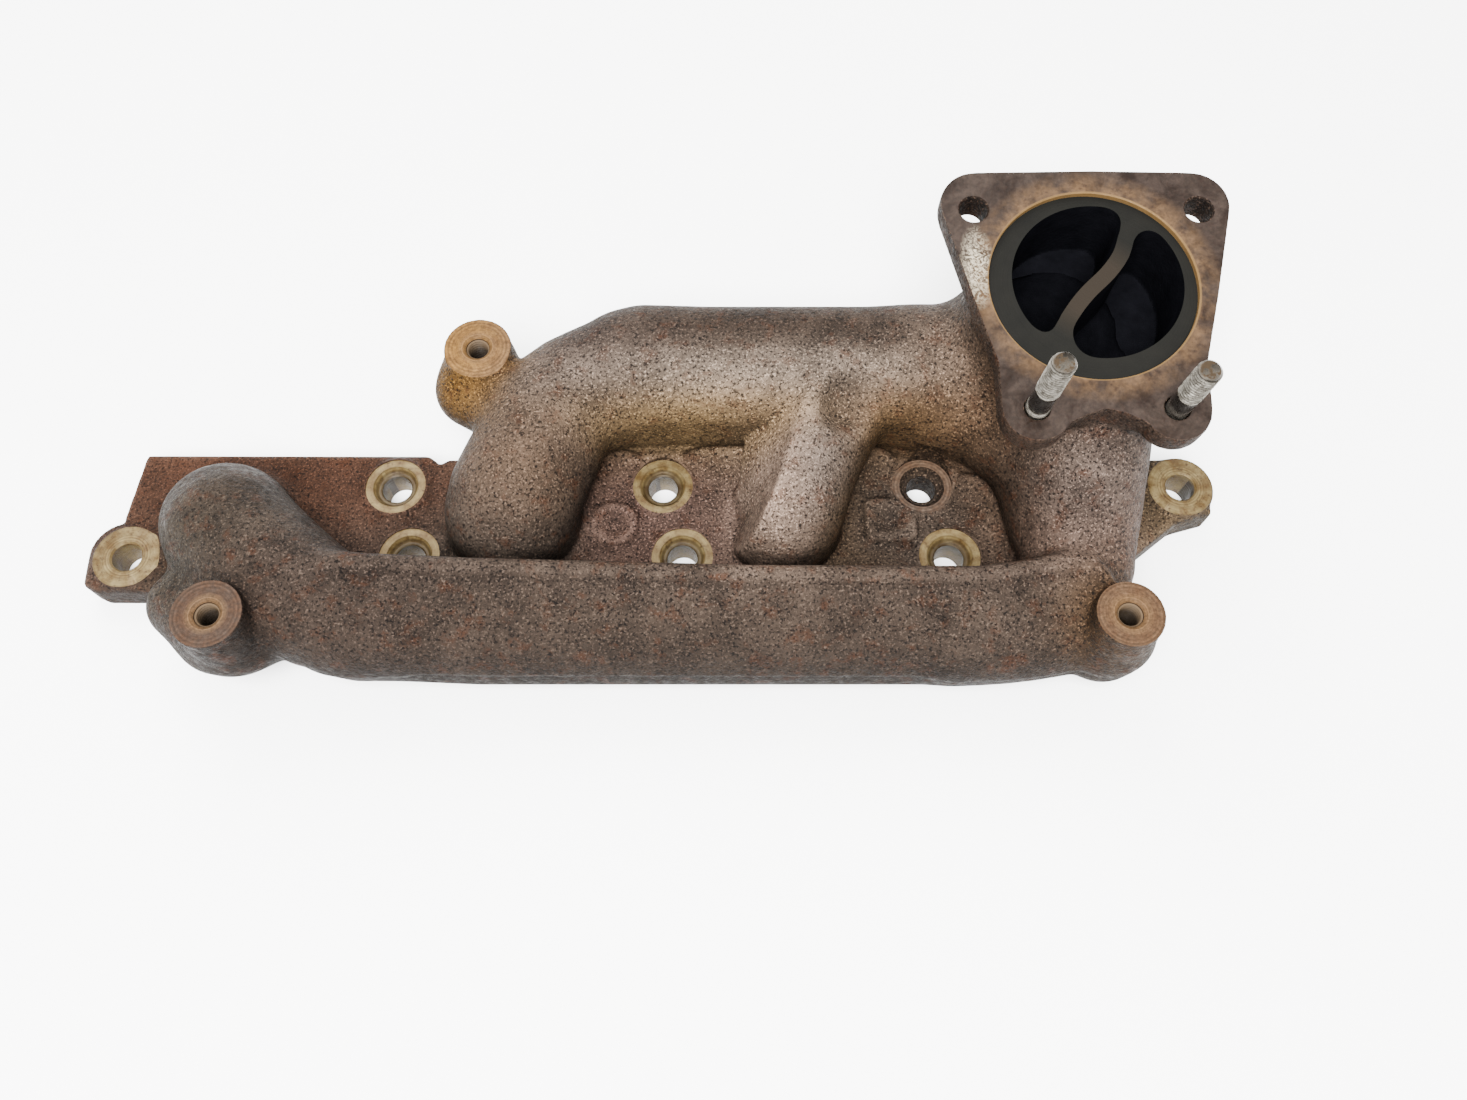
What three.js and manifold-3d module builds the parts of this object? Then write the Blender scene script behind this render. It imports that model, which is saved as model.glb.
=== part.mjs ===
// Twin-entry exhaust manifold for a four-cylinder turbocharged engine, in millimetres.
// The head face lies on the plane z = 0 and +Z points away from the cylinder head.
// X runs along the row of ports and Y across it, with +Y towards the outlet side.
// The origin is on the head face, at the middle bolt column, halfway between the bolt rows.
//
// The real manifold is one iron casting with two screwed-in studs. The casting is modelled
// whole, as outer metal minus gas passages and holes, and is then parted on plain planes into
// its natural sections: port flanges, bolt lands, runners, logs, collector and bosses.
import * as THREE from 'three';
import { mergeVertices } from 'three/addons/utils/BufferGeometryUtils.js';
import Module from 'manifold-3d';

const wasm = await Module();
wasm.setup();

// ---- Driving dimensions ----
const BOLT_ROW = 13.8;               // bolt rows at Y = +-BOLT_ROW
const UPPER_BOLTS = [-96.5, 0, 93.5, 187];
const LOWER_BOLTS = [-188, -88.5, 7.5, 101.5];
const PLATE = 12;                    // head flange thickness
const LAND = 13;                     // height of the machined bolt faces
const LAND_R = 11.5;
const BOLT_HOLE_R = 5.25;            // clearance for M10
const COUNTERBORE_R = 7.8;
const COUNTERBORE_DEPTH = 2;
const FACING = 12;                   // room milled above each bolt face for the spanner
const PORTS = [[-149, -2], [-51, 0], [46, 0], [143, 0]];
const FRAME_HALF = 25;               // half width of a port flange section
const WALL = 5;

const FRONT_LOG = { y: -45, z: 26, halfY: 17, halfZ: 20, corner: 12, from: -98, to: 108 };
const REAR_LOG = { y: 50, z: 30, halfY: 23, halfZ: 22, corner: 17, from: -10, to: 98 };
const RUNNER_R = 22;                 // outer radius of the port stubs and runners
const SLIM_R = 19.5;                 // the third runner is slimmer

const OUTLET = { x: 140.5, y: 50.6, z: 83, tilt: 6.5 };  // centre of the bore's mouth
const OUTLET_THICK = 10;
const SEAT_R = 33.5;                 // gasket seat recess
const SEAT_DEPTH = 2;
const BORE = { u: 1.8, v: 2, r: 27.6 };  // the bore lies off the seat's centre
const NECK_R = 33;
const NECK_DEPTH = 34;               // depth of the neck below the gasket face
const EAR_HOLE = { u: 36.7, v: 27.3, r: 4.6 };
const STUD = { u: 21.6, v: -43.3, r: 3.9, tail: 13, chamfer: 1.2 };
const STUD_TIPS = { outlet_stud_left: 31, outlet_stud_right: 26 };
const STUD_HOLE_R = 4.25;
const DIVIDER_HALF = 2.8;            // half thickness of the S-shaped wall between the streams
const DIVIDER_DEPTH = 32;

const SHIELD_BOSS_R = 11.5;
const SHIELD_THREAD_R = 3.4;
const SHIELD_THREAD_DEPTH = 16;
const SHIELD_BOSSES = {
  heat_shield_boss_left: { x: -140, y: -48.5, z: 48, foot: 16 },
  heat_shield_boss_right: { x: 149.5, y: -48.5, z: 48, foot: 16 },
  heat_shield_boss_rear: { x: -64, y: 52, z: 45, foot: 30 },
};

const GAP = 0.3;                     // clearance left between sections on a slanted parting plane
const OVERSHOOT = 5;                 // how far a cutting tool runs past a face
const THROUGH = 40;                  // depth of a drill that goes right through a flange
const TUBE = 16;                     // facets round a runner
const ROUND = 20;                    // facets round a large circle
const SMALL = 12;                    // facets round a small hole

// ---- Materials ----
const IRON = { color: 0x6e6259, roughness: 0.85, metalness: 0.35 };
const DARK_IRON = { color: 0x554c48, roughness: 0.85, metalness: 0.35 };
const RUSTY_IRON = { color: 0x5a3c34, roughness: 0.9, metalness: 0.3 };
const OUTLET_IRON = { color: 0x7d6250, roughness: 0.7, metalness: 0.5 };
const SOOT = { color: 0x2c2b2a, roughness: 0.95, metalness: 0.2 };
const STUD_STEEL = { color: 0x9a9a96, roughness: 0.35, metalness: 0.9 };

// ---- Solid helpers ----
function solid(geometry) {
  const bare = geometry.index ? geometry.clone() : geometry;
  bare.deleteAttribute('normal');
  bare.deleteAttribute('uv');
  const merged = mergeVertices(bare, 1e-4);
  return new wasm.Manifold(new wasm.Mesh({
    numProp: 3,
    vertProperties: new Float32Array(merged.attributes.position.array),
    triVerts: new Uint32Array(merged.index.array),
  }));
}

function unite(solids) {
  return solids.reduce((sum, next) => sum.add(next));
}

function box(low, high) {
  const size = high.map((value, i) => value - low[i]);
  const geometry = new THREE.BoxGeometry(...size);
  geometry.translate(...low.map((value, i) => value + size[i] / 2));
  return solid(geometry);
}

// An upright cylinder from z0 to z1.
function post(x, y, radius, z0, z1, facets = ROUND) {
  const geometry = new THREE.CylinderGeometry(radius, radius, z1 - z0, facets);
  geometry.rotateX(Math.PI / 2);
  geometry.translate(x, y, (z0 + z1) / 2);
  return solid(geometry);
}

function ball(x, y, z, radius) {
  const geometry = new THREE.SphereGeometry(radius, TUBE, TUBE / 2);
  geometry.rotateX(Math.PI / 2);
  geometry.translate(x, y, z);
  return solid(geometry);
}

// A round bar swept along a curve, used for runners and for the passages inside them.
function sweep(points, radius, steps) {
  const section = new THREE.Shape().absarc(0, 0, radius, 0, 2 * Math.PI);
  const path = new THREE.CatmullRomCurve3(points.map((p) => new THREE.Vector3(...p)));
  const curveSegments = TUBE / 2;
  return solid(new THREE.ExtrudeGeometry(section, { steps, curveSegments, extrudePath: path }));
}

function roundedRect(halfWidth, halfHeight, corner) {
  const shape = new THREE.Shape();
  const x = halfWidth - corner;
  const y = halfHeight - corner;
  shape.absarc(x, y, corner, 0, Math.PI / 2);
  shape.absarc(-x, y, corner, Math.PI / 2, Math.PI);
  shape.absarc(-x, -y, corner, Math.PI, 1.5 * Math.PI);
  shape.absarc(x, -y, corner, 1.5 * Math.PI, 2 * Math.PI);
  return shape;
}

// A log: a rounded-rectangle bar along X. shrink thins the section to make the passage.
function logBar(log, shrink) {
  const shape = roundedRect(log.halfY - shrink, log.halfZ - shrink, log.corner - shrink / 2);
  const geometry = new THREE.ExtrudeGeometry(shape, {
    depth: log.to - log.from, bevelEnabled: false, curveSegments: 5,
  });
  geometry.applyMatrix4(new THREE.Matrix4().makeBasis(
    new THREE.Vector3(0, 1, 0), new THREE.Vector3(0, 0, 1), new THREE.Vector3(1, 0, 0),
  ));
  geometry.translate(log.from, log.y, log.z);
  return solid(geometry);
}

// ---- Outlet frame: u runs along X, v up the gasket face, w out of it ----
const outletFrame = new THREE.Matrix4()
  .makeTranslation(OUTLET.x, OUTLET.y, OUTLET.z)
  .multiply(new THREE.Matrix4().makeRotationX(THREE.MathUtils.degToRad(OUTLET.tilt)));

function outletPoint(u, v, w) {
  return new THREE.Vector3(u, v, w).applyMatrix4(outletFrame).toArray();
}

function outletExtrude(shape, w0, w1, curveSegments = 12) {
  const geometry = new THREE.ExtrudeGeometry(shape, {
    depth: w1 - w0, bevelEnabled: false, curveSegments,
  });
  geometry.translate(0, 0, w0);
  geometry.applyMatrix4(outletFrame);
  return solid(geometry);
}

function outletDisc(u, v, radius, w0, w1, curveSegments = ROUND / 2) {
  const circle = new THREE.Shape().absarc(u, v, radius, 0, 2 * Math.PI);
  return outletExtrude(circle, w0, w1, curveSegments);
}

// ---- Outer metal ----
const BOLTS = [
  ...UPPER_BOLTS.map((x) => [x, BOLT_ROW]),
  ...LOWER_BOLTS.map((x) => [x, -BOLT_ROW]),
];

function headFlangeOutline() {
  const left = LOWER_BOLTS[0];
  const right = UPPER_BOLTS[3];
  const shape = new THREE.Shape();
  shape.moveTo(left - 13, -25);
  shape.lineTo(152, -25);
  shape.lineTo(166, -14);
  shape.lineTo(right - 3, -1);
  shape.quadraticCurveTo(right + 4, 3, right + 11, 3);
  shape.lineTo(right + 12, 7);
  shape.quadraticCurveTo(right + 14, 26, right, 26);
  shape.lineTo(left - 1, 26);
  shape.lineTo(left - 2, 0);
  shape.quadraticCurveTo(left - 15, 1, left - 15, -19);
  return shape;
}

function headFlange() {
  const geometry = new THREE.ExtrudeGeometry(headFlangeOutline(), {
    depth: PLATE, bevelEnabled: false, curveSegments: 8,
  });
  const lands = BOLTS.map(([x, y]) => post(x, y, LAND_R, 0, LAND));
  return unite([solid(geometry), ...lands]);
}

// Centre lines of the swept runners, from the top of each port stub.
const RUNNER_1 = [[-150, -6, 20], [-143, -16, 22], [-130, -31, 25], [-108, -43, 26], [-88, -45, 26]];
const RUNNER_2 = [[...PORTS[1], 27], [-50, 18, 29], [-40, 38, 30], [-20, 49, 30], [2, 50, 30]];
const RUNNER_3 = [[...PORTS[2], 27], [50, 25, 29], [60, 50, 30]];
const LOG_TURN = [[100, -45, 26], [124, -42, 26], [141, -26, 27], [...PORTS[3], 28]];
const RISER_4 = [[...PORTS[3], 26], [143, 8, 42], outletPoint(4, -14, -NECK_DEPTH - 2),
  outletPoint(4, -12, -NECK_DEPTH + 14)];
const REAR_RISE = [[92, 50, 30], [112, 51, 33], outletPoint(-8, 4, -NECK_DEPTH - 4),
  outletPoint(-8, 4, -NECK_DEPTH + 14)];

// Each port stub rises from the head face and closes over in a dome.
const DOMES = [
  { centre: [-150, -5, 20], radius: RUNNER_R },
  { centre: [...PORTS[1], 27], radius: RUNNER_R },
  { centre: [...PORTS[2], 27], radius: SLIM_R },
  { centre: [...PORTS[3], 25], radius: RUNNER_R },
];

// The runners and logs: wall 0 gives the outer metal, wall WALL the passage inside it.
function tubes(wall) {
  const outerEnd = wall > 0 ? -OVERSHOOT : 0;
  const stubs = DOMES.map(({ centre, radius }, i) => (
    post(...PORTS[i], radius - wall, outerEnd, centre[2], TUBE).add(ball(...centre, radius - wall))
  ));
  return unite([
    ...stubs,
    sweep(RUNNER_1, RUNNER_R - 2 - wall, 8),
    sweep(RUNNER_2, RUNNER_R - wall, 8),
    sweep(RUNNER_3, SLIM_R - wall, 4),
    logBar(FRONT_LOG, wall),
    sweep(LOG_TURN, FRONT_LOG.halfZ - wall, 6),
    logBar(REAR_LOG, wall),
    sweep(REAR_RISE, RUNNER_R - wall, 6),
    sweep(RISER_4, RUNNER_R - 1 - wall, 5),
  ]);
}

function neck(radius, top) {
  return outletDisc(BORE.u, BORE.v, radius, -NECK_DEPTH, top);
}

function outletOutline() {
  const shape = new THREE.Shape();
  shape.absarc(-36, 29.5, 12, Math.PI / 2, 1.08 * Math.PI);
  shape.lineTo(-40, -3);
  shape.lineTo(-32.5, -28);
  shape.absarc(-STUD.u, STUD.v, 11, Math.PI, 1.85 * Math.PI);
  shape.quadraticCurveTo(0, -41, 12, -48.5);
  shape.absarc(STUD.u, STUD.v, 11, 1.15 * Math.PI, 2 * Math.PI);
  shape.lineTo(33, -28);
  shape.lineTo(40.5, -3);
  shape.absarc(36, 29.5, 12, -0.08 * Math.PI, Math.PI / 2);
  return shape;
}

function shieldBoss({ x, y, z, foot }) {
  return post(x, y, SHIELD_BOSS_R, foot, z);
}

// The lug that carries the rear heat-shield boss out from the second runner.
function rearLug() {
  const { x, y, z } = SHIELD_BOSSES.heat_shield_boss_rear;
  return box([x, y - 14, z - 15], [x + 22, y + 6, z - 3]);
}

// ---- Holes ----
function headHoles() {
  const holes = [];
  BOLTS.forEach(([x, y]) => {
    holes.push(post(x, y, BOLT_HOLE_R, -OVERSHOOT, LAND + THROUGH, SMALL));
    if (x > LOWER_BOLTS[0] && x < UPPER_BOLTS[3]) {
      holes.push(post(x, y, COUNTERBORE_R, LAND - COUNTERBORE_DEPTH, LAND + THROUGH, SMALL));
      holes.push(post(x, y, LAND_R, LAND, LAND + FACING));
    }
  });
  return holes;
}

function outletHoles() {
  return [
    outletDisc(0, 0, SEAT_R, -SEAT_DEPTH, OVERSHOOT),
    outletDisc(EAR_HOLE.u, EAR_HOLE.v, EAR_HOLE.r, -THROUGH, OVERSHOOT, SMALL / 2),
    outletDisc(-EAR_HOLE.u, EAR_HOLE.v, EAR_HOLE.r, -THROUGH, OVERSHOOT, SMALL / 2),
    outletDisc(STUD.u, STUD.v, STUD_HOLE_R, -THROUGH, OVERSHOOT, SMALL / 2),
    outletDisc(-STUD.u, STUD.v, STUD_HOLE_R, -THROUGH, OVERSHOOT, SMALL / 2),
  ];
}

function shieldThreads() {
  return Object.values(SHIELD_BOSSES).map(({ x, y, z }) => (
    post(x, y, SHIELD_THREAD_R, z - SHIELD_THREAD_DEPTH, z + OVERSHOOT, SMALL)
  ));
}

// The whole casting with its passages and holes, apart from the outlet flange and divider.
function manifoldBody() {
  const outer = unite([
    headFlange(),
    tubes(0),
    neck(NECK_R, -OUTLET_THICK - GAP),
    ...Object.values(SHIELD_BOSSES).map(shieldBoss),
    rearLug(),
  ]);
  const inner = unite([
    tubes(WALL),
    neck(BORE.r, OVERSHOOT),
    ...headHoles(),
    ...shieldThreads(),
  ]);
  const flangeRoom = outletExtrude(outletOutline(), -OUTLET_THICK - GAP, THROUGH, 4);
  return outer.subtract(inner).subtract(flangeRoom);
}

function outletFlange() {
  const bore = outletDisc(BORE.u, BORE.v, BORE.r, -THROUGH, OVERSHOOT);
  return outletExtrude(outletOutline(), -OUTLET_THICK, 0).subtract(unite([bore, ...outletHoles()]));
}

// The S-shaped wall across the bore, clear of the bore all round.
function dividerWall() {
  const spine = new THREE.CatmullRomCurve3([
    [21, 33], [13.5, 20], [10.5, 12], [5.5, 5], [-1.5, -2], [-7, -9], [-10.5, -16], [-13, -32],
  ].map(([u, v]) => new THREE.Vector3(u, v, 0)));
  const steps = 16;
  const sides = [1, -1].map((side) => spine.getSpacedPoints(steps).map((point, i) => {
    const tangent = spine.getTangentAt(i / steps);
    return new THREE.Vector2(
      point.x - side * DIVIDER_HALF * tangent.y,
      point.y + side * DIVIDER_HALF * tangent.x,
    );
  }));
  const wall = new THREE.Shape([...sides[0], ...sides[1].reverse()]);
  const clearBore = outletDisc(BORE.u, BORE.v, BORE.r - GAP, -THROUGH, OVERSHOOT);
  return outletExtrude(wall, -DIVIDER_DEPTH, -SEAT_DEPTH).intersect(clearBore);
}

function studGeometry(tip) {
  const { r, tail, chamfer } = STUD;
  const profile = [[0, -tail], [r - chamfer, -tail], [r, chamfer - tail], [r, tip - chamfer],
    [r - chamfer, tip], [0, tip]].map(([radius, w]) => new THREE.Vector2(radius, w));
  const geometry = new THREE.LatheGeometry(profile, SMALL);
  geometry.rotateX(Math.PI / 2);
  return geometry;
}

// ---- Parting the casting into sections ----
const FAR = 400;
const BENEATH = -10;
const BOSS_BASE = 30;                // heat-shield bosses are parted from the runners here
const HEAD_Y = [-25.5, 26];          // the head flange sections lie between these
const REAR_Y = 25;                   // the rear log and the collector lie behind this
const TURN_X = 112;                  // the fourth runner takes over from the front log here
const COLLECTOR_Z = 46;              // both streams are in the collector above this

// Column edges of the head flange: bolt lands alternate with port flanges.
function flangeSections() {
  const frames = PORTS.map(([x]) => [x - FRAME_HALF, x + FRAME_HALF]);
  const edges = [-FAR, ...frames.flat(), FAR];
  const regions = {};
  for (let i = 0; i + 1 < edges.length; i += 1) {
    const number = Math.floor(i / 2) + 1;
    const name = i % 2 ? `port_flange_${number}` : `bolt_land_${number}`;
    regions[name] = box([edges[i], HEAD_Y[0], BENEATH], [edges[i + 1], HEAD_Y[1], LAND]);
  }
  return regions;
}

// Everything at or above BOSS_BASE inside a boss's own cylinder.
function bossRegion({ x, y }, grow) {
  return post(x, y, SHIELD_BOSS_R + grow, BOSS_BASE, FAR);
}

// Regions are taken in this order, and each takes what the ones before it left.
function sectionRegions() {
  return {
    ...flangeSections(),
    collector: box([REAR_LOG.to, -FAR, COLLECTOR_Z], [FAR, FAR, FAR])
      .add(box([REAR_LOG.to, REAR_Y, BENEATH], [FAR, FAR, COLLECTOR_Z])),
    runner_4: box([TURN_X, -FAR, BENEATH], [FAR, REAR_Y, COLLECTOR_Z]),
    runner_1: box([-FAR, -FAR, BENEATH], [FRONT_LOG.from, HEAD_Y[1], FAR]),
    front_log: box([FRONT_LOG.from, -FAR, BENEATH], [TURN_X, HEAD_Y[0], FAR]),
    runner_2: box([FRONT_LOG.from, HEAD_Y[0], BENEATH], [REAR_LOG.from, FAR, FAR]),
    runner_3: box([REAR_LOG.from, HEAD_Y[0], BENEATH], [REAR_LOG.to, REAR_Y, FAR]),
    rear_log: box([REAR_LOG.from, REAR_Y, BENEATH], [REAR_LOG.to, FAR, FAR]),
  };
}

const LOOKS = {
  port_flange_1: RUSTY_IRON, bolt_land_1: RUSTY_IRON, bolt_land_2: RUSTY_IRON,
  front_log: DARK_IRON, runner_1: DARK_IRON,
};

// ---- Assembly ----
function mesh(name, geometry, look) {
  const piece = new THREE.Mesh(geometry, new THREE.MeshStandardMaterial(look));
  piece.name = name;
  return piece;
}

function toGeometry(body) {
  const { vertProperties, triVerts } = body.getMesh();
  const geometry = new THREE.BufferGeometry();
  geometry.setAttribute('position', new THREE.BufferAttribute(vertProperties, 3));
  geometry.setIndex(new THREE.BufferAttribute(triVerts, 1));
  geometry.computeVertexNormals();
  return geometry;
}

// The largest connected piece of a region; what a plane shaves off beyond it is dropped.
function mainPiece(body) {
  const pieces = body.decompose();
  return pieces.sort((a, b) => b.volume() - a.volume())[0];
}

const manifold = new THREE.Group();
let remaining = manifoldBody();
Object.entries(SHIELD_BOSSES).forEach(([name, boss]) => {
  const section = mainPiece(remaining.intersect(bossRegion(boss, 0)));
  remaining = remaining.subtract(bossRegion(boss, GAP));
  manifold.add(mesh(name, toGeometry(section), IRON));
});
Object.entries(sectionRegions()).forEach(([name, region]) => {
  const section = mainPiece(remaining.intersect(region));
  remaining = remaining.subtract(region);
  manifold.add(mesh(name, toGeometry(section), LOOKS[name] ?? IRON));
});
manifold.add(mesh('outlet_flange', toGeometry(outletFlange()), OUTLET_IRON));
manifold.add(mesh('divider_wall', toGeometry(dividerWall()), SOOT));

[['outlet_stud_left', -STUD.u], ['outlet_stud_right', STUD.u]].forEach(([name, u]) => {
  const stud = mesh(name, studGeometry(STUD_TIPS[name]), STUD_STEEL);
  stud.position.set(...outletPoint(u, STUD.v, 0));
  stud.rotation.x = THREE.MathUtils.degToRad(OUTLET.tilt);
  manifold.add(stud);
});

export default manifold;
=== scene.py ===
"""Looks for a twin-entry exhaust manifold: one rough iron casting and two steel studs.

The casting is grown as a distance field, in millimetres, in the frame's own axes: tubes, logs
and pads run together with soft fillets as poured iron does. The field is meshed, then the
passages and every machined face and hole are cut from it with sharp edges.
"""
import math

import bpy
import numpy as np
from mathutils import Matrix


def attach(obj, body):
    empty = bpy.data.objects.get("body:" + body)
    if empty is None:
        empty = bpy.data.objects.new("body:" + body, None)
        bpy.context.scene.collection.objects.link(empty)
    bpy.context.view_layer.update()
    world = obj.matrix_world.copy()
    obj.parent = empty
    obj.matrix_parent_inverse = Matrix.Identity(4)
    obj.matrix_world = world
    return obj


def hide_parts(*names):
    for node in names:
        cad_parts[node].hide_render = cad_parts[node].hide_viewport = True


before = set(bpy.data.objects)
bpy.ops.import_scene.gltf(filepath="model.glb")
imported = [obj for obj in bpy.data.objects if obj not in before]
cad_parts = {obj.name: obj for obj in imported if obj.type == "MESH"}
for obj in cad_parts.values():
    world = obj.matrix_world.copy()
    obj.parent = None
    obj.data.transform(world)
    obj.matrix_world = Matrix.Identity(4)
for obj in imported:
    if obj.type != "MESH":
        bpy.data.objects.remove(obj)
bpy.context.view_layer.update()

import openvdb as vdb
from mathutils import Matrix, Vector

MM = 0.001
GRID = 0.85    # spacing of the casting's distance field
CORE_GRID = 2.0                       # spacing for the gas passages
BORE_GRID = 0.8                       # spacing for the twin bore at the outlet

# ---- Dimensions shared with the CAD part ----
PORTS = (-149.0, -51.0, 46.0, 143.0)
BOLT_ROW = 13.8
UPPER_BOLTS = [-96.5, 0.0, 93.5, 187.0]
LOWER_BOLTS = [-188.0, -88.5, 7.5, 101.5]
BOLTS = [(x, BOLT_ROW) for x in UPPER_BOLTS] + [(x, -BOLT_ROW) for x in LOWER_BOLTS]
END_BOLTS = [(187.0, BOLT_ROW), (-188.0, -BOLT_ROW)]
PLAIN_BOLT = (93.5, BOLT_ROW)         # the one spotface that has gone rusty
PLATE = 12.0                          # height of the head flange
LAND = 13.0                           # height of the bolts' spotfaces
LAND_R = 11.5
BOLT_HOLE_R = 5.25
COUNTERBORE_R = 7.8
WALL = 5.0
OUTLET = np.array([140.5, 50.6, 83.0])
TILT = math.radians(6.5)
OUTLET_THICK = 10.0
SEAT_R = 33.5
SEAT_DEPTH = 2.0
BORE_R = 27.6
BORE_AT = (2.0, 2.2)                  # the bore sits off the seat's centre
NECK_R = 33.0
NECK_DEPTH = 38.0
BORE_DEPTH = 28.0
EAR_HOLE = (36.7, 27.3, 4.6)          # u, v and radius; the other is its mirror image
EAR_R = 12.0
STUD_AT = (21.6, -43.3)               # u and v; the other is its mirror image
STUD_LOBE_R = 11.0
STUD_R = 3.9
STUD_HOLE_R = 4.0
THREAD_PITCH = 1.25
THREAD_DEPTH = 15.0                   # of the tapped holes in the heat-shield bosses
# Heat-shield bosses: x, y, height of the face, and radius.
BOSSES = {"left": (-139.0, -48.5, 48.0, 11.4), "right": (149.5, -48.5, 48.0, 10.9),
          "rear": (-64.0, 52.0, 45.0, 11.8)}

# ---- Mesh sizes ----
CASTING_TRIANGLES = 150_000
ROUND_FACETS = 64
THREAD_FACETS = 40


# ---- Camera, from the photograph's viewing angle ----
def make_camera():
    data = bpy.data.cameras.new("camera")
    data.lens = 28.2
    data.sensor_width = 36.0
    data.clip_start = 0.01
    camera = bpy.data.objects.new("camera", data)
    camera.location = (0.0255, -0.176, 0.383)
    camera.rotation_euler = (math.radians(24), 0, 0)
    bpy.context.scene.collection.objects.link(camera)
    bpy.context.scene.camera = camera


make_camera()


# ---- Distance fields ----
def soft_min(a, b, soft):
    """The smaller of two distances, blended where they are nearly equal."""
    low = np.minimum(a, b)
    if soft <= 0:
        return low
    return low - np.maximum(soft - np.abs(a - b), 0) ** 2 / (4 * soft)


def soft_max(a, b, soft):
    return -soft_min(-a, -b, soft)


class Field:
    """Signed distances on a regular grid, negative inside the metal."""

    FAR = 30                          # the distance of empty space
    MARGIN = 3                        # how far round a shape its field is worked out

    def __init__(self, low, high, step):
        self.low = np.array(low, dtype=float)
        self.step = step
        self.axes = [np.arange(a, b + step, step, dtype=np.float32) for a, b in zip(low, high)]
        self.values = np.full([len(axis) for axis in self.axes], self.FAR, dtype=np.float32)

    def window(self, low, high):
        """The part of the grid in a box, and the coordinates of its points."""
        cuts = tuple(
            slice(max(0, int((a - axis[0]) / self.step)), int((b - axis[0]) / self.step) + 2)
            for a, b, axis in zip(low, high, self.axes)
        )
        return cuts, np.ix_(*[axis[cut] for axis, cut in zip(self.axes, cuts)])

    def around(self, low, high, soft):
        reach = soft + self.MARGIN
        return self.window(np.subtract(low, reach), np.add(high, reach))

    def join(self, shape, soft=0.0):
        """Adds metal, with a fillet where it meets what is there."""
        distance, low, high = shape
        cuts, (x, y, z) = self.around(low, high, soft)
        self.values[cuts] = soft_min(self.values[cuts], distance(x, y, z), soft)

    def cut(self, shape, soft=0.0):
        """Takes metal away, with a rounded rim."""
        distance, low, high = shape
        cuts, (x, y, z) = self.around(low, high, soft)
        self.values[cuts] = soft_max(self.values[cuts], -distance(x, y, z), soft)

    def smooth(self, rounds):
        for _ in range(rounds):
            for axis in range(3):
                v = np.moveaxis(self.values, axis, 0)
                v[1:-1] = (v[:-2] + 2 * v[1:-1] + v[2:]) / 4

    def mesh(self):
        """Vertices in millimetres and faces, from the zero surface."""
        band = 3 * self.step
        grid = vdb.FloatGrid(band)
        grid.copyFromArray(np.clip(self.values, -band, band))
        grid.gridClass = vdb.GridClass.LEVEL_SET
        points, triangles, quads = grid.convertToPolygons(isovalue=0, adaptivity=0)
        faces = [tuple(int(i) for i in face[::-1]) for face in quads]
        faces += [tuple(int(i) for i in face[::-1]) for face in triangles]
        return points * self.step + self.low, faces


def spline(points, count):
    """Evenly spread points along a Catmull-Rom curve; extra columns ride along."""
    p = np.array(points, dtype=float)
    p = np.vstack([2 * p[0] - p[1], p, 2 * p[-1] - p[-2]])
    rows = []
    for i in range(1, len(p) - 2):
        a, b, c, d = p[i - 1:i + 3]
        for t in np.linspace(0, 1, 20, endpoint=False):
            rows.append(0.5 * (2 * b + (c - a) * t + (2 * a - 5 * b + 4 * c - d) * t ** 2
                               + (3 * b - a - 3 * c + d) * t ** 3))
    rows.append(p[-2])
    rows = np.array(rows)
    run = np.concatenate([[0], np.cumsum(np.linalg.norm(np.diff(rows[:, :3], axis=0), axis=1))])
    at = np.linspace(0, run[-1], count + 1)
    return np.stack([np.interp(at, run, column) for column in rows.T], axis=1)


def tube(points, count=14, grow=0.0):
    """A round bar along a curve. Each point is x, y, z, radius."""
    line = spline(points, count).astype(np.float32)
    line[:, 3] += grow

    def distance(x, y, z):
        best = None
        for a, b in zip(line[:-1], line[1:]):
            d = b - a
            t = ((x - a[0]) * d[0] + (y - a[1]) * d[1] + (z - a[2]) * d[2]) / (d[:3] @ d[:3])
            t = np.clip(t, 0, 1)
            away = (x - a[0] - t * d[0]) ** 2 + (y - a[1] - t * d[1]) ** 2
            away = np.sqrt(away + (z - a[2] - t * d[2]) ** 2) - (a[3] + t * d[3])
            best = away if best is None else np.minimum(best, away)
        return best

    reach = line[:, 3].max()
    return distance, line[:, :3].min(0) - reach, line[:, :3].max(0) + reach


def polygon(points):
    """Signed distance to a closed outline in two dimensions."""
    corners = np.array(points, dtype=np.float32)

    def distance(u, v):
        best = np.full(np.broadcast_shapes(u.shape, v.shape), 1e9, dtype=np.float32)
        inside = np.zeros(best.shape, dtype=bool)
        for (ax, ay), (bx, by) in zip(corners, np.roll(corners, -1, 0)):
            ex, ey = bx - ax, by - ay
            wu, wv = u - ax, v - ay
            t = np.clip((wu * ex + wv * ey) / (ex * ex + ey * ey), 0, 1)
            best = np.minimum(best, (wu - t * ex) ** 2 + (wv - t * ey) ** 2)
            if ay != by:
                inside ^= ((ay > v) != (by > v)) & (wu < ex * wv / ey)
        return np.where(inside, -1, 1) * np.sqrt(best)

    return distance


def arc(x, y, radius, start, end, steps=8):
    """Points of an arc, with its angles in half turns."""
    angles = np.linspace(start, end, steps + 1) * math.pi
    return [(x + radius * math.cos(a), y + radius * math.sin(a)) for a in angles]


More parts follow.
